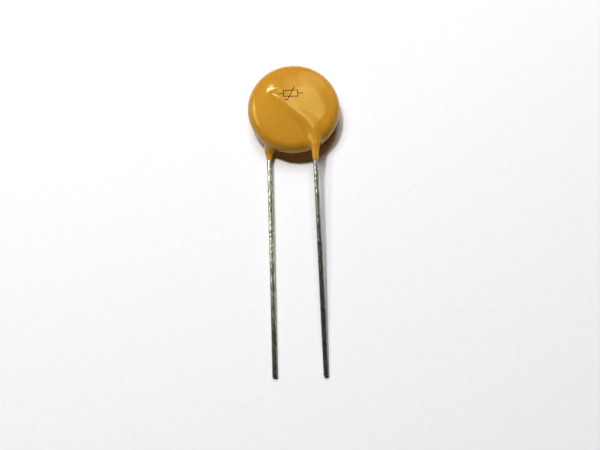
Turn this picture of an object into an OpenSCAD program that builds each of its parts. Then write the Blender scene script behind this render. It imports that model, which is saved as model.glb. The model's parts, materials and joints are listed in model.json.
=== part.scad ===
// Metal oxide varistor: a ceramic disc with an electrode and a soldered lead
// on each face, dipped in one epoxy coat. It lies on its back, leads along -Y.

/* [Ceramic disc] */
// Diameter of the sintered ceramic disc
ceramic_d = 13.8; // [10:0.1:20]
// Thickness of the ceramic disc
ceramic_t = 2; // [1:0.1:4]
// Chamfer on both rims of the ceramic disc
ceramic_chamfer = 0.15; // [0.05:0.05:0.3]
// Bare ring of ceramic between the electrode's edge and the rim
electrode_margin = 0.8; // [0.4:0.1:2]
// Thickness of the fired silver electrodes
electrode_t = 0.05; // [0.02:0.01:0.1]

/* [Lead wires] */
// Diameter of the lead wire
wire_d = 0.8; // [0.5:0.05:1]
// Pitch of the two leads where they leave the coat
lead_pitch = 7.5; // [6:0.1:9]
// Distance by which the pair of leads sits left of the disc's centre
lead_offset = 0.47; // [-0.8:0.01:0.8]
// Distance from the disc's centre to the cut ends of the leads
lead_reach = 42.7; // [30:0.1:60]
// Sideways drift of the front lead from the coat to its cut end
front_drift = 0.6; // [-1:0.1:1]
// Sideways drift of the back lead from the coat to its cut end
back_drift = 0.3; // [-1:0.1:1]
// Bare wire between the end of the leg and the slight bend
bend_clear = 0.2; // [0.1:0.05:0.5]
// Distance from each end of the slight bend to its middle
bend_run = 0.2; // [0.1:0.05:0.4]
// Swelling of the wire where it has been bent
bend_swell = 0.01; // [0.005:0.005:0.02]

/* [Crossed wire ends] */
// Distance from the disc's centre down to the corner of the wire
corner_drop = 3.95; // [3.5:0.05:5]
// Angle through which the wire turns at the corner, towards the other lead
corner_angle = 49; // [30:1:55]
// Bend radius of the wire's centre line at the corner
corner_r = 1.5; // [1:0.1:2.5]
// Length of wire from the corner to its end on the electrode
crossing_len = 8.5; // [6:0.1:9]

/* [Solder] */
// Length of the solder bead along the wire
solder_len = 5; // [3:0.1:5.5]
// Film of solder between the wire and the electrode
solder_film = 0.03; // [0.02:0.01:0.1]
// Thickness of the bead at its outer edges
solder_edge = 0.08; // [0.05:0.01:0.15]

/* [Epoxy coat] */
// Coat around the rim of the ceramic disc
rim_wall = 0.7; // [0.5:0.05:1.5]
// Coat over each electrode at the middle of the disc
face_wall = 1.25; // [1.1:0.05:1.6]
// How much the coat thins from the middle of each face to its rim
crown = 0.95; // [0.5:0.05:1]
// Radius that rounds the rim of the coat
rim_r = 1.3; // [0.8:0.05:1.3]
// Cover of the ridge over each lead wire, from its corner down to the disc's edge
wire_cover = 0.45; // [0.3:0.05:0.6]
// Cover of the ridge at the wire's end, where it sinks into the thicker disc
end_cover = -0.15; // [-0.2:0.05:0.45]
// Coat around each lead at the end of its leg
tip_cover = 0.12; // [0.08:0.01:0.2]
// Length of the front leg of the coat below the disc's edge
front_leg = 1.97; // [1:0.01:4]
// Length of the back leg of the coat below the disc's edge
back_leg = 1.04; // [0.8:0.01:4]
// Width of the soft blends between the disc, the ridges and the legs
blend = 1; // [0.8:0.1:1.6]
// Width of the blend inside the corner of the ridge
corner_blend = 0.3; // [0.1:0.05:0.6]

/* [Hidden] */
$fn = 64;

FRONT = 1;
BACK = -1;

wire_r = wire_d / 2;
coat_r = ceramic_d / 2 + rim_wall;
electrode_r = ceramic_d / 2 - electrode_margin;
electrode_top = ceramic_t / 2 + electrode_t;
coat_half = electrode_top + face_wall;
wire_level = electrode_top + solder_film + wire_r;
ridge_r = wire_r + wire_cover;
end_r = wire_r + end_cover;
tip_r = wire_r + tip_cover;
tip_round = sqrt(tip_r * tip_r - wire_r * wire_r);
lap = 0.04;

// ---- Places of the leads, in the frame of the disc with its face up ----

// Place of a lead across the disc, as seen from its own face
function lead_x(side) = lead_pitch / 2 - side * lead_offset;
function leg_len(side) = side == FRONT ? front_leg : back_leg;
function leg_end(side) = -coat_r - leg_len(side);
function drift(side) = side == FRONT ? front_drift : back_drift;
function corner(side) = [lead_x(side), -corner_drop, wire_level];
function crossing_dir() = [-sin(corner_angle), cos(corner_angle), 0];
function wire_end(side) = corner(side) + crossing_len * crossing_dir();

// ---- The coat as one soft solid: negative inside, zero on its surface ----

function soft_min(a, b, k) =
    let (h = max(k - abs(a - b), 0) / k)
    min(a, b) - h * h * k / 4;

function disc_field(p) =
    let (
        r = norm([p.x, p.y]),
        half = coat_half - crown * pow(r / coat_r, 2),
        a = r - (coat_r - rim_r),
        b = abs(p.z) - (half - rim_r)
    )
    norm([max(a, 0), max(b, 0)]) + min(max(a, b), 0) - rim_r;

// A round rod from a to b, whose radius changes evenly between its ends
function rod_field(p, a, b, r_a, r_b) =
    let (ab = b - a, t = min(max((p - a) * ab / (ab * ab), 0), 1))
    norm(p - a - t * ab) - (r_a + (r_b - r_a) * t);

// The ridge over a wire sinks towards the wire's end and thins along the leg
function wire_field(p, side) =
    let (
        q = [side * p.x, p.y, side * p.z],
        edge = [lead_x(side), ridge_r - coat_r, wire_level],
        bottom = [lead_x(side), leg_end(side) + tip_round, wire_level],
        crossing = rod_field(q, corner(side), wire_end(side), ridge_r, end_r),
        run = rod_field(q, corner(side), edge, ridge_r, ridge_r),
        leg = rod_field(q, edge, bottom, ridge_r, tip_r)
    )
    soft_min(min(run, leg), crossing, corner_blend);

function coat_field(p) =
    soft_min(soft_min(disc_field(p), wire_field(p, FRONT), blend), wire_field(p, BACK), blend);

// Height of a face of the coat over the disc's mid-plane, found by halving
function halve(p, side, lo, hi, steps) =
    let (mid = (lo + hi) / 2)
    steps == 0 ? mid
    : coat_field([p.x, p.y, side * mid]) < 0 ? halve(p, side, mid, hi, steps - 1)
    : halve(p, side, lo, mid, steps - 1);

function coat_height(p, side) =
    halve([side * p.x, p.y], side, wire_level, wire_level + ridge_r + blend, HALVINGS);

HALVINGS = 16;
SPOTS_ALONG = 32;
SPOTS_ACROSS = 16;
// The lowest spot of the back face lies between the disc's centre and the wire
low_spots = [for (i = [0 : SPOTS_ALONG], j = [0 : SPOTS_ACROSS])
    j / SPOTS_ACROSS * (corner(BACK) + i / SPOTS_ALONG * crossing_len * crossing_dir())];
rest_h = max([for (p = low_spots) coat_height(p, BACK)]);

// ---- Mesh of the soft solid on a graded grid of cells ----

coarse = 0.55;
fine = 0.28;
layer = 0.33;
NEWTON = 3;
NUDGE = 0.01;

near_lead = ridge_r + fine;
function x_step(x) =
    min(abs(x - lead_x(FRONT)), abs(x + lead_x(BACK))) < near_lead ? fine : coarse;
function y_step(y) = y < -coat_r + rim_r ? fine : coarse;

xs = [for (x = -coat_r - coarse; x < coat_r + 2 * coarse; x = x + x_step(x)) x];
low_y = min(leg_end(FRONT), leg_end(BACK)) - 3 * fine;
ys = [for (y = low_y; y < coat_r + 2 * coarse; y = y + y_step(y)) y];
top_z = wire_level + ridge_r + blend / 4 + layer;
layers = ceil(2 * top_z / layer);
zs = [for (k = [0 : layers]) -top_z + k * 2 * top_z / layers];

function gradient(p) = [
    coat_field(p + [NUDGE, 0, 0]) - coat_field(p - [NUDGE, 0, 0]),
    coat_field(p + [0, NUDGE, 0]) - coat_field(p - [0, NUDGE, 0]),
    coat_field(p + [0, 0, NUDGE]) - coat_field(p - [0, 0, NUDGE])
] / (2 * NUDGE);

function onto_surface(p, steps) =
    let (g = gradient(p))
    steps == 0 ? p : onto_surface(p - g * coat_field(p) / (g * g), steps - 1);

module soft_coat() {
    nx = len(xs);
    ny = len(ys);
    nz = len(zs);
    cells = nx * ny * nz;
    sampled = [for (z = zs, y = ys, x = xs) coat_field([x, y, z])];

    // Steps from a value to its neighbours in the list: along X, Y and Z
    dy = nx;
    dz = nx * ny;
    axes = [[1, dy, dz], [dy, dz, 1], [dz, 1, dy]];

    // On a saddle, a square of the grid can have opposite corners inside and the
    // other two outside. The mesh would be pinched there, so the corner nearest
    // to the surface changes sides.
    saddles = [for (c = [0 : cells - dz - dy - 1], a = axes)
        let (
            square = [c, c + a[1], c + a[1] + a[2], c + a[2]],
            inside = [for (k = square) sampled[k] < 0],
            gaps = [for (k = square) abs(sampled[k])]
        )
        if (inside[0] == inside[2] && inside[1] == inside[3] && inside[0] != inside[1])
            square[search(min(gaps), gaps)[0]]];
    field = [for (c = [0 : cells - 1])
        len(search(c, saddles)) > 0 ? -sampled[c] : sampled[c]];

    // A cell's corners, as steps from its first corner in the list of values
    corners = [0, 1, dy, dy + 1, dz, dz + 1, dz + dy, dz + dy + 1];
    edges = [[0, 1], [2, 3], [4, 5], [6, 7], [0, 2], [1, 3],
             [4, 6], [5, 7], [0, 4], [1, 5], [2, 6], [3, 7]];

    place = function (c) [xs[c % nx], ys[floor(c / nx) % ny], zs[floor(c / dz)]];
    inner = function (c) c % nx < nx - 1 && floor(c / nx) % ny < ny - 1 && floor(c / dz) < nz - 1;
    crossed = function (c)
        let (inside = [for (k = corners) if (field[c + k] < 0) 1])
        len(inside) > 0 && len(inside) < len(corners);
    active = [for (c = [0 : cells - 1]) inner(c) && crossed(c) ? 1 : 0];
    number = [for (c = 0, n = 0; c < cells; n = n + active[c], c = c + 1) n];

    middle = function (c)
        let (cuts = [for (e = edges)
            let (a = c + corners[e[0]], b = c + corners[e[1]])
            if (field[a] < 0 != field[b] < 0)
                place(a) + (place(b) - place(a)) * field[a] / (field[a] - field[b])])
        [for (i = [0 : 2]) [for (q = cuts) q[i]] * [for (q = cuts) 1]] / len(cuts);
    points = [for (c = [0 : cells - 1]) if (active[c] == 1) onto_surface(middle(c), NEWTON)];

    // Where a grid line passes through the surface, the four cells round it share a face
    quad = function (c, u, v) field[c] < 0
        ? [number[c - u - v], number[c - u], number[c], number[c - v]]
        : [number[c - u - v], number[c - v], number[c], number[c - u]];
    quads = [for (c = [dz + dy + 1 : cells - dz - dy - 2], a = axes)
        if (field[c] < 0 != field[c + a[0]] < 0) quad(c, a[1], a[2])];
    faces = [for (q = quads, t = [[0, 1, 2], [0, 2, 3]]) [for (i = t) q[i]]];

    polyhedron(points, faces);
}

// ---- Pieces, in the frame of the disc ----

// Turns a piece of the front face over to the back face
module on_face(side) {
    rotate([0, side == FRONT ? 0 : 180, 0]) children();
}

module ceramic_body() {
    r = ceramic_d / 2;
    h = ceramic_t / 2;
    rotate_extrude() polygon([
        [0, -h], [r - ceramic_chamfer, -h], [r, -h + ceramic_chamfer],
        [r, h - ceramic_chamfer], [r - ceramic_chamfer, h], [0, h]
    ]);
}

module electrode_body(side) {
    on_face(side) translate([0, 0, ceramic_t / 2]) cylinder(r = electrode_r, h = electrode_t);
}

// A bend of the wire: it starts at the origin along +Y and turns towards -X
module wire_bend(r, angle) {
    translate([-r, 0, 0]) rotate_extrude(angle = angle) translate([r, 0])
        circle(wire_r + bend_swell);
}

// A straight run along +Y, which reaches a little into the bends that it joins
module wire_run(length, before = 0, after = 0) {
    translate([0, -before, 0]) rotate([-90, 0, 0])
        cylinder(r = wire_r, h = before + length + after);
}

module lead_body(side) {
    setback = corner_r * tan(corner_angle / 2);
    knee = [lead_x(side), leg_end(side) - bend_clear - bend_run, wire_level];
    drop = rest_h + side * wire_level - wire_r;
    across = [side * drift(side), 0, -side * drop];
    down = lead_reach + knee.y;
    bend = atan(norm(across) / down);
    bend_r = bend_run / tan(bend / 2);
    roll = atan2(-across.z, across.x);
    inside = -knee.y - corner_drop - setback - bend_run;
    outside = norm([norm(across), down]) - bend_run;

    on_face(side) {
        // Crossing over the electrode, and the corner
        translate(corner(side)) rotate([0, 0, corner_angle]) translate([0, setback, 0])
            wire_run(crossing_len - setback, before = lap);
        translate(corner(side) - [0, setback, 0]) wire_bend(corner_r, corner_angle);
        // Run down to the slight bend
        translate(knee + [0, bend_run, 0]) wire_run(inside, before = lap, after = lap);
        // Slight bend, and the lead after it
        translate(knee + [0, bend_run, 0]) rotate([0, roll, 0]) rotate([0, 0, 180]) {
            wire_bend(bend_r, bend);
            translate([-bend_r * (1 - cos(bend)), bend_r * sin(bend), 0]) rotate([0, 0, bend])
                wire_run(outside, before = lap);
        }
    }
}

// The bead's fillets rise from the electrode to the middle of the wire
module solder_outline(sunk = 0) {
    h = wire_level - electrode_top;
    fillet = h - solder_edge;
    reach = wire_r + solder_edge / 2 + fillet;
    difference() {
        translate([-reach, -sunk]) square([2 * reach, h + sunk]);
        for (s = [-1, 1]) translate([s * reach, h]) circle(fillet);
    }
}

// Lays a section of the bead along the wire's crossing
module along_crossing(side) {
    start = crossing_len - solder_len - wire_d;
    on_face(side) translate([corner(side).x, corner(side).y, electrode_top])
        rotate([0, 0, corner_angle]) translate([0, start + solder_len, 0])
            rotate([90, 0, 0]) linear_extrude(solder_len) children();
}

module solder_body(side) {
    along_crossing(side) difference() {
        solder_outline();
        translate([0, wire_level - electrode_top]) circle(wire_r);
    }
}

// The space in the coat: each piece reaches a little into its neighbour here
module inner_space() {
    ceramic_body();
    for (side = [FRONT, BACK]) {
        on_face(side) cylinder(r = electrode_r, h = electrode_top);
        along_crossing(side) solder_outline(sunk = lap);
        lead_body(side);
    }
}

module coat_body() {
    difference() {
        soft_coat();
        inner_space();
    }
}

// Lays the disc on its back ridge, with the middle of the whole part over the origin
module laid_down() {
    translate([0, (lead_reach - coat_r) / 2, rest_h]) children();
}

// ---- Nodes ----

module epoxy_coating() {
    color("goldenrod") laid_down() coat_body();
}

module ceramic_disc() {
    color("dimgray") laid_down() ceramic_body();
}

module electrode_front() {
    color("silver") laid_down() electrode_body(FRONT);
}

module electrode_back() {
    color("silver") laid_down() electrode_body(BACK);
}

module solder_front() {
    color("lightgray") laid_down() solder_body(FRONT);
}

module solder_back() {
    color("lightgray") laid_down() solder_body(BACK);
}

module lead_front() {
    color("darkgray") laid_down() lead_body(FRONT);
}

module lead_back() {
    color("darkgray") laid_down() lead_body(BACK);
}

epoxy_coating();
ceramic_disc();
electrode_front();
electrode_back();
solder_front();
solder_back();
lead_front();
lead_back();
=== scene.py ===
"""Looks of a metal oxide varistor that lies on its back on white paper.

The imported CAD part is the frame: the boxes of its pieces and its two lead pins give the
places and sizes. The coat and the leads are built again as finer meshes around them, a
printed mark is laid on the coat, and what stays sealed in the coat keeps its CAD mesh.
"""

import json
import math

import bpy
import numpy as np
from mathutils import Matrix, Vector, noise


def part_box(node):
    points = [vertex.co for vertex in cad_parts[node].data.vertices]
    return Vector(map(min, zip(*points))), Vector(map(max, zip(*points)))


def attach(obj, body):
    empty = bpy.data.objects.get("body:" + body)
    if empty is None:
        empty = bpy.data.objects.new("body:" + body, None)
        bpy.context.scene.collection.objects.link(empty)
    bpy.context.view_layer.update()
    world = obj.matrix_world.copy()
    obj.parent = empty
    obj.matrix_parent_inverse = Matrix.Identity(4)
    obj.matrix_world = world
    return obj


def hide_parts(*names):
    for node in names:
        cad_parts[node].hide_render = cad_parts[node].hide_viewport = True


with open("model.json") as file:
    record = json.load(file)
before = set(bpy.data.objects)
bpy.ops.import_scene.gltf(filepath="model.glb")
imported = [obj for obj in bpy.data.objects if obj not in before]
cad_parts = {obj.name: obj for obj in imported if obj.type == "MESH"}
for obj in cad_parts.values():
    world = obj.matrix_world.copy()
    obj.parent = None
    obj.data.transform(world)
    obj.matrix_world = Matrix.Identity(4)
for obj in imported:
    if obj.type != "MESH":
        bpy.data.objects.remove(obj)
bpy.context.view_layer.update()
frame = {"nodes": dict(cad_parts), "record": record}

MM = 0.001
FRONT = 1
BACK = -1
SIDES = {FRONT: "front", BACK: "back"}
UP = np.array([0.0, 0.0, 1.0])
LEAD_DIR = np.array([0.0, -1.0, 0.0])  # of a lead down to its slight bend

# ---- Sizes in millimetres, from the frame ----


def box_mm(node):
    """A node's lowest and highest corners."""
    low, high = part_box(node)
    return np.array(low) / MM, np.array(high) / MM


def pin_mm(name):
    """A lead outside the coat: where it starts, its direction, length and radius."""
    mount = next(m for m in frame["record"]["mounts"] if m["name"] == name)
    axis = np.array(mount["axis"])
    axis = axis / np.linalg.norm(axis)
    length = mount["dims"]["length_mm"]
    middle = np.array(mount["pos_m"]) / MM
    return middle - axis * length / 2, axis, length, mount["dims"]["r_mm"]


CERAMIC = box_mm("ceramic_disc")
CENTRE = (CERAMIC[0] + CERAMIC[1]) / 2 * np.array([0, 1, 1])  # its X is exactly 0
CERAMIC_R = (CERAMIC[1][1] - CERAMIC[0][1]) / 2
COAT = box_mm("epoxy_coating")
ELECTRODE_TOP = box_mm("electrode_front")[1][2] - CENTRE[2]  # over the disc's middle plane
PINS = {side: pin_mm(f"lead_{SIDES[side]}_pin") for side in SIDES}
WIRE_R = PINS[FRONT][3]

# Sizes of the coat that the frame can't give, as in the CAD source
RIM_WALL = 0.7      # beyond the rim of the ceramic disc
FACE_WALL = 1.25    # over the middle of each electrode
CROWN = 0.95        # how much lower the faces are at the rim
RIM_R = 1.3         # round of the rim
SOLDER_FILM = 0.03  # between an electrode and its wire

# Places of the wire inside the coat, as in the CAD source
CORNER_DROP = 3.95
CORNER_ANGLE = math.radians(49)
CORNER_R = 1.5
CROSSING_LEN = 8.5
BEND_RUN = 0.2
BEND_CLEAR = 0.2

# The ridge over a wire and the leg round it, with softer forms than in the CAD source
WIRE_COVER = 0.39   # over the wire, from the corner to the rim
END_COVER = -0.35   # over the wire's soldered end: the ridge has sunk into the face there
TIP_COVER = 0.07    # round the wire at the end of the leg
TIP_UP = {FRONT: 0.05, BACK: 0.3}  # how much sooner the leg ends
LEG_WAIST = 0.35    # half way down the leg, the share of its taper that is still left
BLEND = 1.2         # how widely a ridge melts into the disc

# The ridge turns its corner on a curve that leaves the wire's own line
CUT_ACROSS = 2.2    # where the curve starts, on the crossing
CUT_DOWN = 2.6      # where it ends, down the leg
CUT_PARTS = 8

# The coat hangs from the ridge beside the crossing, like a tent
FLANK_RISE = 0.8    # share of the ridge's height over the face
FLANK_IN = 2.2      # width on the corner's inner side
FLANK_OUT = 1.0     # width on its outer side
FLANK_TURN = 0.8    # how softly one width goes over into the other
FLANK_SOFT = 0.15   # how softly the flank starts where the ridge comes out of the face

COAT_R = CERAMIC_R + RIM_WALL
COAT_HALF = ELECTRODE_TOP + FACE_WALL
WIRE_LEVEL = ELECTRODE_TOP + SOLDER_FILM + WIRE_R
RIDGE_R = WIRE_R + WIRE_COVER
END_R = WIRE_R + END_COVER
TIP_R = WIRE_R + TIP_COVER
CROSSING_DIR = np.array([-math.sin(CORNER_ANGLE), math.cos(CORNER_ANGLE), 0.0])


def turned(points, side):
    """Turns points over with the disc, so that a side's own face is up, or back again."""
    return points * np.array([side, 1, side])


def bare_wire(side):
    """The straight wire below the slight bend: its two ends and its direction."""
    start, axis, length, _ = PINS[side]
    start = turned(start - CENTRE, side)
    axis = turned(axis, side)
    return start, start + axis * length, axis


def bend(side):
    """The slight bend below the leg: its start, the way it turns, its radius and its angle."""
    end, _, axis = bare_wire(side)
    angle = math.acos(float(axis @ LEAD_DIR))
    sideways = axis - (axis @ LEAD_DIR) * LEAD_DIR
    sideways = sideways / np.linalg.norm(sideways)
    radius = BEND_RUN / math.tan(angle / 2)
    turn = math.sin(angle) * LEAD_DIR + (1 - math.cos(angle)) * sideways
    return end - radius * turn, sideways, radius, angle


def leg_end(side):
    """Where the leg ends in the CAD source, along Y."""
    return bend(side)[0][1] + BEND_CLEAR


def corner(side):
    """Where the crossing and the leg would meet, if the wire had no bend there."""
    return np.array([bend(side)[0][0], -CORNER_DROP, WIRE_LEVEL])


# ---- The coat as one soft solid: negative inside, zero on its surface ----


def soft_min(a, b, k):
    """The smaller of a and b, rounded where they differ by less than k."""
    h = np.maximum(k - np.abs(a - b), 0) / k
    return np.minimum(a, b) - h * h * k / 4


def dome(r):
    """Height of a face above the middle plane, at radius r."""
    return COAT_HALF - CROWN * (r / COAT_R) ** 2


def flank(q, side):
    """Extra height of the coat beside a crossing, where it hangs from the ridge."""
    ahead = CROSSING_DIR[:2]
    beside = np.array([math.cos(CORNER_ANGLE), math.sin(CORNER_ANGLE)])
    top = corner(side)
    from_top = q[:, :2] - top[:2]
    along = np.clip(from_top @ ahead, 0, CROSSING_LEN)
    off = from_top - along[:, None] * ahead
    # 1 on the corner's inner side and 0 on its outer side
    inner = 0.5 + 0.5 * np.tanh(off @ beside / FLANK_TURN)
    width = FLANK_OUT + (FLANK_IN - FLANK_OUT) * inner
    nearest = top[:2] + along[:, None] * ahead
    crest = WIRE_LEVEL + RIDGE_R + (END_R - RIDGE_R) * along / CROSSING_LEN
    rise = crest - dome(np.linalg.norm(nearest, axis=1))
    rise = (rise + np.sqrt(rise ** 2 + FLANK_SOFT ** 2)) / 2
    return FLANK_RISE * rise / (1 + (off ** 2).sum(axis=1) / width ** 2)


def disc_field(p):
    """The coated disc, without the ridges over the wires."""
    r = np.hypot(p[:, 0], p[:, 1])
    half = dome(r)
    for side in SIDES:
        face = side * p[:, 2] > 0
        half[face] += flank(turned(p[face], side), side)
    a = r - (COAT_R - RIM_R)
    b = np.abs(p[:, 2]) - (half - RIM_R)
    outside = np.hypot(np.maximum(a, 0), np.maximum(b, 0))
    return outside + np.minimum(np.maximum(a, b), 0) - RIM_R


def rod_field(p, a, b, r_a, r_b):
    """A round rod from a to b, whose radius changes evenly between its ends."""
    ab = b - a
    t = np.clip((p - a) @ ab / (ab @ ab), 0, 1)
    return np.linalg.norm(p - a - t[:, None] * ab, axis=1) - (r_a + (r_b - r_a) * t)


def ridge(side):
    """Places and radii along the ridge, from the wire's end to the end of the leg."""
    top = corner(side)
    across = top + CUT_ACROSS * CROSSING_DIR
    down = top + CUT_DOWN * LEAD_DIR
    thin = RIDGE_R + (END_R - RIDGE_R) * CUT_ACROSS / CROSSING_LEN
    stops = [(top + CROSSING_LEN * CROSSING_DIR, END_R)]
    # Round the corner on a Bezier curve
    for t in np.linspace(0, 1, CUT_PARTS + 1):
        place = (1 - t) ** 2 * across + 2 * t * (1 - t) * top + t * t * down
        stops.append((place, thin + (RIDGE_R - thin) * t))
    # From the middle of the leg's round end to where that end meets the wire's surface
    tip_round = math.sqrt(TIP_R ** 2 - WIRE_R ** 2)
    rim = RIDGE_R - COAT_R
    tip = leg_end(side) + TIP_UP[side] + tip_round
    waist = TIP_R + (RIDGE_R - TIP_R) * LEG_WAIST
    for y, r in ((rim, RIDGE_R), ((rim + tip) / 2, waist), (tip, TIP_R)):
        stops.append((np.array([top[0], y, WIRE_LEVEL]), r))
    return stops


def wire_field(p, side):
    """The ridge over one wire and the leg round it, as a chain of rods."""
    q = turned(p, side)
    stops = ridge(side)
    rods = [rod_field(q, a, b, r_a, r_b) for (a, r_a), (b, r_b) in zip(stops, stops[1:])]
    return np.minimum.reduce(rods)


def coat_field(p):
    """The whole coat."""
    solid = soft_min(disc_field(p), wire_field(p, FRONT), BLEND)
    return soft_min(solid, wire_field(p, BACK), BLEND)


def gradient(field, p, step=0.01):
    """How fast the field grows along X, Y and Z."""
    shifts = np.eye(3) * step
    return np.stack([field(p + s) - field(p - s) for s in shifts], axis=1) / (2 * step)


def onto_surface(field, p, steps=3):
    """Moves points onto the field's zero surface, by Newton's method."""
    for _ in range(steps):
        g = gradient(field, p)
        p = p - g * (field(p) / (g * g).sum(axis=1))[:, None]
    return p


def soft_surface(field, low, high, step):
    """Points and four-sided faces of the field's zero surface, one point for each cell."""
    axes = [np.arange(a, b + step, step) for a, b in zip(low, high)]
    grid = np.stack(np.meshgrid(*axes, indexing="ij"), axis=-1)
    shape = grid.shape[:3]
    value = field(grid.reshape(-1, 3)).reshape(shape)
    inside = value < 0

    # Each edge of the grid that the surface crosses belongs to four cells. A cell's point
    # is the mean of its crossings, and the four points round a crossing make a face.
    cells = tuple(n - 1 for n in shape)
    total = np.zeros(cells + (3,))
    count = np.zeros(cells)
    crossings = []
    for axis in range(3):
        near = [slice(None)] * 3
        far = [slice(None)] * 3
        near[axis] = slice(0, -1)
        far[axis] = slice(1, None)
        near, far = tuple(near), tuple(far)
        cut = np.argwhere(inside[near] != inside[far])
        a = value[near][tuple(cut.T)]
        b = value[far][tuple(cut.T)]
        place = grid[near][tuple(cut.T)]
        place[:, axis] += step * a / (a - b)
        u, v = [i for i in range(3) if i != axis]
        around = []
        for du, dv in ((1, 1), (0, 1), (0, 0), (1, 0)):
            cell = cut.copy()
            cell[:, u] -= du
            cell[:, v] -= dv
            around.append(cell)
            np.add.at(total, tuple(cell.T), place)
            np.add.at(count, tuple(cell.T), 1)
        crossings.append((np.stack(around, axis=1), a < 0, axis))

    used = count > 0
    number = np.full(cells, -1)
    number[used] = np.arange(used.sum())
    points = total[used] / count[used][:, None]
    faces = []
    for around, leaving, axis in crossings:
        quad = number[tuple(np.moveaxis(around, -1, 0))]
        # Turned round where that makes the face look outwards
        flip = leaving if axis == 1 else ~leaving
        quad[flip] = quad[flip][:, ::-1]
        faces.append(quad)
    return points, np.concatenate(faces)


# ---- Meshes ----


def new_piece(name, points, faces, material, smooth=True):
    """A mesh object from points in millimetres."""
    mesh = bpy.data.meshes.new(name)
    mesh.from_pydata((np.asarray(points) * MM).tolist(), [], [list(map(int, f)) for f in faces])
    mesh.validate()
    mesh.polygons.foreach_set("use_smooth", [smooth] * len(mesh.polygons))
    mesh.update()
    piece = bpy.data.objects.new(name, mesh)
    piece.data.materials.append(material)
    bpy.context.scene.collection.objects.link(piece)
    return piece


# ---- Materials ----

# Sockets of Blender's mix node that hold colours: their names aren't unique
COLOURS_TO_MIX = (6, 7)
MIXED_COLOUR = 2


class Nodes:
    """A material's node tree, with short names for what the materials share."""

    def __init__(self, name):
        self.material = bpy.data.materials.new(name)
        self.material.use_nodes = True
        self.tree = self.material.node_tree
        self.tree.nodes.clear()
        self.shader = self.add("ShaderNodeBsdfPrincipled")
        output = self.add("ShaderNodeOutputMaterial")
        self.link(self.shader.outputs["BSDF"], output.inputs["Surface"])

    def add(self, kind, **values):
        """A new node of that kind, with values for its settings."""
        node = self.tree.nodes.new(kind)
        for key, value in values.items():
            setattr(node, key, value)
        return node

    def link(self, a, b):
        self.tree.links.new(a, b)

    def set(self, **values):
        """Values for the shader's own sockets, whose names have _ for a space here."""
        for key, value in values.items():
            self.shader.inputs[key.replace("_", " ")].default_value = value

    def coords(self, scale=(1, 1, 1)):
        """Places in millimetres, times scale."""
        source = self.add("ShaderNodeTexCoord").outputs["Object"]
        mapping = self.add("ShaderNodeMapping")
        mapping.inputs["Scale"].default_value = [s / MM for s in scale]
        self.link(source, mapping.inputs["Vector"])
        return mapping.outputs["Vector"]

    def noise(self, vector, scale, detail=3.0, roughness=0.5):
        """Noise from 0 to 1, with scale lumps to the millimetre."""
        node = self.add("ShaderNodeTexNoise")
        node.inputs["Scale"].default_value = scale
        node.inputs["Detail"].default_value = detail
        node.inputs["Roughness"].default_value = roughness
        self.link(vector, node.inputs["Vector"])
        return node.outputs["Fac"]

    def ramp(self, factor, stops):
        """Colours between stops, each a place from 0 to 1 and its colour."""
        node = self.add("ShaderNodeValToRGB")
        elements = node.color_ramp.elements
        while len(elements) < len(stops):
            elements.new(0.5)
        for element, (place, colour) in zip(elements, stops):
            element.position = place
            element.color = (*colour, 1)
        self.link(factor, node.inputs["Fac"])
        return node.outputs["Color"]

    def span(self, factor, low, high, start=0.3, end=0.7):
        """Values from low to high, for a factor that goes from start to end."""
        node = self.add("ShaderNodeMapRange")
        node.inputs["From Min"].default_value = start
        node.inputs["From Max"].default_value = end
        node.inputs["To Min"].default_value = low
        node.inputs["To Max"].default_value = high
        self.link(factor, node.inputs["Value"])
        return node.outputs["Result"]

    def mix(self, factor, a, b):
        """Colour a where the factor is 0, going over into colour b where it is 1."""
        node = self.add("ShaderNodeMix", data_type="RGBA")
        self.link(factor, node.inputs["Factor"])
        self.colours(node, a, b)
        return node.outputs[MIXED_COLOUR]

    def multiply(self, a, b):
        """Colour a times colour b."""
        node = self.add("ShaderNodeMix", data_type="RGBA", blend_type="MULTIPLY")
        node.inputs["Factor"].default_value = 1
        self.colours(node, a, b)
        return node.outputs[MIXED_COLOUR]

    def colours(self, node, *pair):
        """Gives a mix node its two colours: each is plain, or comes from another node."""
        for place, colour in zip(COLOURS_TO_MIX, pair):
            if isinstance(colour, tuple):
                node.inputs[place].default_value = (*colour, 1)
            else:
                self.link(colour, node.inputs[place])

    def bump(self, height, distance, strength):
        """Bumps as high as distance in millimetres, where the height is 1."""
        node = self.add("ShaderNodeBump")
        node.inputs["Strength"].default_value = strength
        node.inputs["Distance"].default_value = distance * MM
        self.link(height, node.inputs["Height"])
        return node.outputs["Normal"]


def srgb(r, g, b):
    """A colour seen on screen, 0 to 255, as Blender's linear values."""
    def linear(c):
        c /= 255
        return c / 12.92 if c <= 0.04045 else ((c + 0.055) / 1.055) ** 2.4
    return tuple(linear(c) for c in (r, g, b))


def epoxy_material():
    """Glossy ochre epoxy, a little uneven in colour, with yellowish reflections."""
    n = Nodes("epoxy")
    vector = n.coords()
    clouds = n.noise(vector, 0.16, detail=2.0)
    colour = n.ramp(clouds, [
        (0.30, srgb(190, 131, 28)),
        (0.52, srgb(195, 135, 32)),
        (0.75, srgb(200, 141, 37)),
    ])
    specks = n.noise(vector, 2.2, detail=4.0, roughness=0.6)
    tint = n.ramp(specks, [(0.35, (0.94, 0.93, 0.90)), (0.60, (1, 1, 1))])
    n.link(n.multiply(colour, tint), n.shader.inputs["Base Color"])
    n.link(n.span(n.noise(vector, 1.1), 0.08, 0.12), n.shader.inputs["Roughness"])
    peel = n.bump(n.noise(vector, 1.6, detail=2.0), 0.02, 0.35)
    n.link(peel, n.shader.inputs["Normal"])
    n.set(IOR=1.5, Specular_Tint=(1.0, 1.0, 0.35, 1.0))
    return n.material


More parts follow.
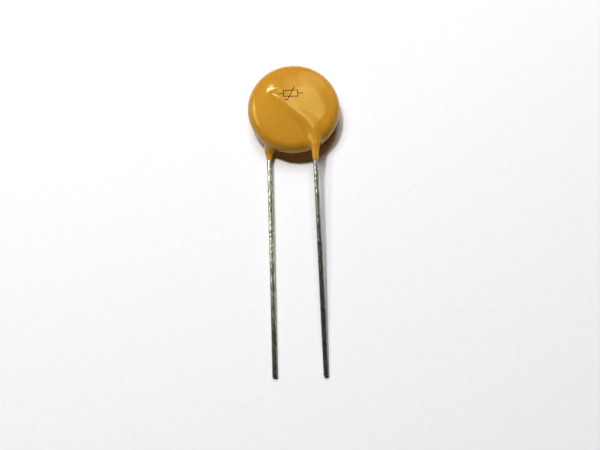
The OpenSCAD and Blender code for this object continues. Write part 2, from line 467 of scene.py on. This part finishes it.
# Places along the frame's Y: where a wire's tin is painted fully lit, and where it is fully in
# painted shade. The darkening towards the cut end is a painted reflection of dark surroundings.
REFLECTION_FADE = {FRONT: (13.0, -14.0), BACK: (-8.0, -24.0)}


def tinned_material(side):
    """Tin, brightest near the coat and painted darker towards the cut end as a painted
    reflection. Its streaks, stains and pits are drawn out along Y.
    """
    n = Nodes(f"tinned_wire_{SIDES[side]}")
    streaks = n.noise(n.coords((1, 0.45, 1)), 3.6, detail=4.0, roughness=0.7)
    bright = n.ramp(streaks, [
        (0.34, srgb(70, 64, 46)),
        (0.44, srgb(138, 132, 108)),
        (0.54, srgb(204, 200, 182)),
        (0.64, srgb(232, 232, 226)),
    ])
    # The same streaks painted darker: painted shade for the wire's lower part
    painted_dark_tin = n.ramp(streaks, [(0.36, srgb(48, 43, 39)), (0.64, srgb(138, 131, 121))])
    place = n.add("ShaderNodeSeparateXYZ")
    n.link(n.coords(), place.inputs["Vector"])
    fully_lit_y, fully_shaded_y = REFLECTION_FADE[side]
    # Painted reflection: the lit tin near the coat goes over into painted dark tin towards the
    # cut end
    painted_fade = n.span(place.outputs["Y"], 1.0, 0.0, start=fully_shaded_y, end=fully_lit_y)
    tin = n.mix(painted_fade, bright, painted_dark_tin)
    spots = n.noise(n.coords((1, 0.5, 1)), 0.9, detail=4.0, roughness=0.6)
    stains = n.span(spots, 0.0, 0.5, start=0.52, end=0.66)
    n.link(n.mix(stains, tin, srgb(66, 58, 40)), n.shader.inputs["Base Color"])
    n.link(n.span(streaks, 0.32, 0.16), n.shader.inputs["Roughness"])
    pits = n.bump(n.noise(n.coords((1, 0.6, 1)), 3.0, detail=4.0), 0.03, 0.6)
    n.link(pits, n.shader.inputs["Normal"])
    n.set(Metallic=1.0)
    return n.material


def ink_material():
    """Brown ink, worn unevenly."""
    n = Nodes("marking_ink")
    vector = n.coords()
    worn = n.noise(vector, 4.0, detail=4.0, roughness=0.7)
    colour = n.ramp(worn, [(0.35, srgb(64, 24, 10)), (0.65, srgb(98, 44, 18))])
    n.link(colour, n.shader.inputs["Base Color"])
    n.link(n.span(worn, 0.45, 0.6), n.shader.inputs["Roughness"])
    n.set(Specular_IOR_Level=0.15)
    return n.material


def ceramic_material():
    """Dark grey sintered ceramic."""
    n = Nodes("zinc_oxide")
    grain = n.noise(n.coords(), 6.0, detail=5.0, roughness=0.7)
    colour = n.ramp(grain, [(0.35, srgb(58, 62, 60)), (0.65, srgb(88, 92, 88))])
    n.link(colour, n.shader.inputs["Base Color"])
    n.link(n.bump(grain, 0.02, 0.5), n.shader.inputs["Normal"])
    n.set(Roughness=0.8)
    return n.material


def metal_material(name, dark, pale, roughness):
    """Fine-grained metal, in colours from dark to pale."""
    n = Nodes(name)
    grain = n.noise(n.coords(), 4.0, detail=5.0, roughness=0.6)
    n.link(n.ramp(grain, [(0.35, dark), (0.65, pale)]), n.shader.inputs["Base Color"])
    n.link(n.bump(grain, 0.01, 0.4), n.shader.inputs["Normal"])
    n.set(Metallic=1.0, Roughness=roughness)
    return n.material


def paper_material():
    """Matt white paper."""
    n = Nodes("paper")
    fibres = n.noise(n.coords(), 0.9, detail=5.0, roughness=0.6)
    colour = n.ramp(fibres, [(0.3, srgb(246, 246, 247)), (0.7, srgb(250, 250, 251))])
    n.link(colour, n.shader.inputs["Base Color"])
    n.set(Roughness=0.9, Specular_IOR_Level=0.2)
    return n.material


# ---- The coat ----

COAT_STEP = 0.16
COAT_MARGIN = 3 * COAT_STEP  # of the grid, round the coat's box


def make_coat(material):
    """The coat as a fine mesh, kept inside the box of the CAD coat."""
    low = COAT[0] - CENTRE - COAT_MARGIN
    high = COAT[1] - CENTRE + COAT_MARGIN
    points, faces = soft_surface(coat_field, low, high, COAT_STEP)
    points = onto_surface(coat_field, points) + CENTRE
    piece = new_piece("coat", np.clip(points, COAT[0], COAT[1]), faces, material)
    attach(piece, "root")
    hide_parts("epoxy_coating")


# ---- The mark ----

# Strokes of the circuit symbol for a varistor, across the disc from its centre
MARK = [
    [(-2.45, 1.75), (-1.55, 1.75)],
    [(-1.55, 1.20), (-1.55, 2.30), (0.75, 2.30), (0.75, 1.20), (-1.55, 1.20)],
    [(0.75, 1.75), (1.65, 1.75)],
    [(-1.45, 0.60), (-0.95, 0.60), (0.25, 2.90)],
]
STROKE_W = 0.14
STROKE_STEP = 0.1
INK_RISE = 0.006   # over the coat
INK_LAYER = 0.001  # more for each stroke than for the one before, as strokes cross
INK_DEPTH = 0.03   # sunk into the coat
HALVINGS = 20


def on_coat(spots):
    """Points of the coat's front face over spots across the disc."""
    low = np.full(len(spots), COAT_HALF - CROWN)
    high = np.full(len(spots), WIRE_LEVEL + RIDGE_R + BLEND)
    for _ in range(HALVINGS):
        middle = (low + high) / 2
        inside = coat_field(np.column_stack([spots, middle])) < 0
        low = np.where(inside, middle, low)
        high = np.where(inside, high, middle)
    return np.column_stack([spots, low])


def stroke_spots(stroke):
    """Spots along a stroke, the step from each to its left edge, and whether it is a loop."""
    loop = stroke[0] == stroke[-1]
    corners = np.array(stroke)
    runs = np.diff(corners, axis=0)
    lengths = np.linalg.norm(runs, axis=1)
    aside = np.column_stack([-runs[:, 1], runs[:, 0]]) / lengths[:, None]
    before = np.vstack([aside[-1:] if loop else aside[:1], aside])
    after = np.vstack([aside, aside[:1] if loop else aside[-1:]])
    mitre = before + after
    mitre = mitre * STROKE_W / (mitre ** 2).sum(axis=1)[:, None]
    spots, steps = [], []
    for k, length in enumerate(lengths):
        for t in np.linspace(0, 1, math.ceil(length / STROKE_STEP), endpoint=False):
            spots.append(corners[k] + t * runs[k])
            steps.append(mitre[k] + t * (mitre[k + 1] - mitre[k]))
    if not loop:
        spots.append(corners[-1])
        steps.append(mitre[-1])
    return np.array(spots), np.array(steps), loop


def strip_faces(first, count, loop):
    """Faces of a strip that has four points at each of its spots, from point first on."""
    faces = []
    for i in range(count if loop else count - 1):
        here = first + 4 * i
        there = first + 4 * ((i + 1) % count)
        for j in range(4):
            k = (j + 1) % 4
            faces.append((here + j, here + k, there + k, there + j))
    if not loop:
        last = first + 4 * (count - 1)
        faces.append((first + 3, first + 2, first + 1, first))
        faces.append((last, last + 1, last + 2, last + 3))
    return faces


def make_mark(material):
    """Strokes of ink, each a closed strip along the coat."""
    points = []
    faces = []
    sink = INK_DEPTH * UP
    for number, stroke in enumerate(MARK):
        spots, steps, loop = stroke_spots(stroke)
        left = on_coat(spots + steps)
        right = on_coat(spots - steps)
        rise = (INK_RISE + number * INK_LAYER) * UP
        strip = np.stack([left + rise, right + rise, right - sink, left - sink], axis=1)
        faces += strip_faces(len(points), len(spots), loop)
        points += strip.reshape(-1, 3).tolist()
    piece = new_piece("mark", np.array(points) + CENTRE, faces, material, smooth=False)
    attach(piece, "root")


# ---- The leads ----

WIRE_SIDES = 40
WIRE_STEP = 0.16
WEAR_DEPTH = 0.012
WEAR_SCALE = 1.3  # lumps to the millimetre
WEAR_FALLOFF = 1.0
WEAR_LACUNARITY = 2.0
WEAR_OCTAVES = 3


def straight(start, end):
    """Points along a straight run, after its start."""
    count = max(1, round(np.linalg.norm(end - start) / WIRE_STEP))
    return [start + (end - start) * (i + 1) / count for i in range(count)]


def arc(start, heading, towards, radius, angle):
    """Points along a bend, after its start."""
    count = max(2, round(radius * angle / WIRE_STEP))
    spots = [angle * (i + 1) / count for i in range(count)]
    return [start + radius * (math.sin(a) * heading + (1 - math.cos(a)) * towards) for a in spots]


def wire_path(side):
    """The centre line from the soldered end to the cut end, in the disc's frame."""
    top = corner(side)
    setback = CORNER_R * math.tan(CORNER_ANGLE / 2)
    inwards = -np.array([math.cos(CORNER_ANGLE), math.sin(CORNER_ANGLE), 0.0])
    bend_start, sideways, radius, angle = bend(side)
    path = [top + CROSSING_LEN * CROSSING_DIR]
    path += straight(path[-1], top + setback * CROSSING_DIR)
    path += arc(path[-1], -CROSSING_DIR, inwards, CORNER_R, CORNER_ANGLE)
    path += straight(path[-1], bend_start)
    path += arc(bend_start, LEAD_DIR, sideways, radius, angle)
    path += straight(path[-1], bare_wire(side)[1])
    return np.array(path)


def wire_rings(path):
    """Directions from each point of the path to the points of a ring round it."""
    steps = np.diff(path, axis=0)
    heads = np.vstack([steps[:1], steps[:-1] + steps[1:], steps[-1:]])
    heads = heads / np.linalg.norm(heads, axis=1)[:, None]
    rights = np.cross(heads, UP)
    rights = rights / np.linalg.norm(rights, axis=1)[:, None]
    ups = np.cross(rights, heads)
    turns = np.linspace(0, 2 * math.pi, WIRE_SIDES, endpoint=False)[:, None]
    return rights[:, None] * np.cos(turns) + ups[:, None] * np.sin(turns)


def tube_faces(rows):
    """Faces of a tube of rings and of its ends, whose middles are the two points after them."""
    faces = []
    for i in range(rows - 1):
        here = i * WIRE_SIDES
        there = here + WIRE_SIDES
        for j in range(WIRE_SIDES):
            k = (j + 1) % WIRE_SIDES
            faces.append((here + j, there + j, there + k, here + k))
    last_ring = (rows - 1) * WIRE_SIDES
    first_middle = rows * WIRE_SIDES
    for j in range(WIRE_SIDES):
        k = (j + 1) % WIRE_SIDES
        faces.append((first_middle, j, k))
        faces.append((first_middle + 1, last_ring + k, last_ring + j))
    return faces


def wear(points):
    """How much the surface of a wire is worn away at points."""
    lumps = [noise.fractal(Vector(p) * WEAR_SCALE, WEAR_FALLOFF, WEAR_LACUNARITY, WEAR_OCTAVES)
             for p in points]
    return WEAR_DEPTH * np.clip(np.array(lumps) + 0.5, 0, 1)


def make_lead(side, material):
    """One wire, soldered end and all, as a closed tube."""
    path = turned(wire_path(side), side) + CENTRE
    rings = wire_rings(path)
    surface = (path[:, None] + rings * WIRE_R).reshape(-1, 3)
    surface = surface - rings.reshape(-1, 3) * wear(surface)[:, None]
    points = np.vstack([surface, path[0], path[-1]])
    name = SIDES[side]
    piece = new_piece(f"wire_{name}", points, tube_faces(len(path)), material)
    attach(piece, "root")
    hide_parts(f"lead_{name}")


# ---- Setting ----

CAMERA_PLACE = Vector((0.527, -17.947, 79.567))
CAMERA_PITCH = math.radians(78.347)  # below the horizon
CAMERA_ROLL = math.radians(-1.561)
CAMERA_LENS = 30.0
CAMERA_SENSOR = 36.0
CAMERA_CLIP = 1.0  # nearest distance that it sees

LAMP_DISTANCE = 500  # from the disc

# Lamps that light surfaces but don't show in reflections. Each has the direction in which
# it stands, seen from the disc, its width in millimetres and its power in watts.
LIGHTING = {
    "key": ((-0.25, 0.355, 0.90), 60, 1.49),
    "side": ((-0.44, 0.36, 0.82), 60, 0.46),
    "back": ((0.0, 0.58, 0.82), 260, 1.20),
}

# Lamps that show in reflections only: the wide ones give sheen, the narrow ones glints
REFLECTIONS = {
    "bank": ((-0.70, 0.28, 0.66), 300, 0.75),
    "glint_a": ((-0.25, 0.59, 0.765), 40, 0.24),
    "glint_b": ((-0.18, 0.55, 0.815), 35, 0.08),
    "hoop": ((0.62, 0.70, 0.35), 500, 0.45),
    "sky": ((0.12, 0.46, 0.88), 200, 0.30),
    "bow": ((0.22, 0.70, 0.68), 160, 0.10),
    "tail": ((0.03, 0.63, 0.775), 140, 0.06),
    "wide": ((0.03, 0.52, 0.84), 600, 0.35),
    "left": ((-0.55, 0.39, 0.74), 25, 0.08),
    "right": ((0.94, 0.17, 0.29), 30, 0.08),
}

# White all round, which shows as background and in reflections, but adds no diffuse light
AMBIENT = 0.25

FLOOR_HALF = 400


def make_camera():
    """The camera, almost straight over the disc."""
    data = bpy.data.cameras.new("camera")
    data.lens = CAMERA_LENS
    data.sensor_width = CAMERA_SENSOR
    data.clip_start = CAMERA_CLIP * MM
    camera = bpy.data.objects.new("camera", data)
    tilt = Matrix.Rotation(math.radians(90) - CAMERA_PITCH, 4, "X")
    roll = Matrix.Rotation(CAMERA_ROLL, 4, "Z")
    camera.matrix_world = Matrix.Translation(CAMERA_PLACE * MM) @ tilt @ roll
    bpy.context.scene.collection.objects.link(camera)
    bpy.context.scene.camera = camera


def make_lamp(name, direction, width, power, diffuse):
    """A round lamp that faces the disc, and gives either diffuse light or reflections."""
    data = bpy.data.lights.new(name, "AREA")
    data.shape = "DISK"
    data.size = width * MM
    data.energy = power
    lamp = bpy.data.objects.new(name, data)
    lamp.visible_diffuse = diffuse
    lamp.visible_glossy = not diffuse
    disc = Vector(CENTRE) * MM
    place = disc + Vector(direction).normalized() * (LAMP_DISTANCE * MM)
    lamp.location = place
    lamp.rotation_euler = (place - disc).to_track_quat("Z", "Y").to_euler()
    bpy.context.scene.collection.objects.link(lamp)


def make_lamps():
    for lamps, diffuse in ((LIGHTING, True), (REFLECTIONS, False)):
        for name, (direction, width, power) in lamps.items():
            make_lamp(name, direction, width, power, diffuse)


def make_floor(material):
    corners = ((-1, -1), (1, -1), (1, 1), (-1, 1))
    points = [(x * FLOOR_HALF, y * FLOOR_HALF, 0) for x, y in corners]
    floor = new_piece("floor", points, [(0, 1, 2, 3)], material, smooth=False)


def make_world():
    world = bpy.data.worlds.new("world")
    world.use_nodes = True
    background = world.node_tree.nodes["Background"]
    background.inputs["Strength"].default_value = AMBIENT
    background.inputs["Color"].default_value = (1, 1, 1, 1)
    world.cycles_visibility.diffuse = False
    bpy.context.scene.world = world


def paint_hidden():
    """Finishes the pieces that stay sealed in the coat."""
    silver = metal_material("silver", srgb(196, 194, 188), srgb(226, 225, 220), 0.45)
    solder = metal_material("solder", srgb(150, 152, 154), srgb(196, 198, 200), 0.35)
    finishes = {
        "ceramic_disc": ceramic_material(),
        "electrode_front": silver,
        "electrode_back": silver,
        "solder_front": solder,
        "solder_back": solder,
    }
    for node, material in finishes.items():
        for slot in frame["nodes"][node].material_slots:
            slot.material = material


def main():
    make_camera()
    make_world()
    make_lamps()
    make_floor(paper_material())
    make_coat(epoxy_material())
    make_mark(ink_material())
    for side in SIDES:
        make_lead(side, tinned_material(side))
    paint_hidden()
    bpy.context.scene.view_settings.view_transform = "Standard"


main()
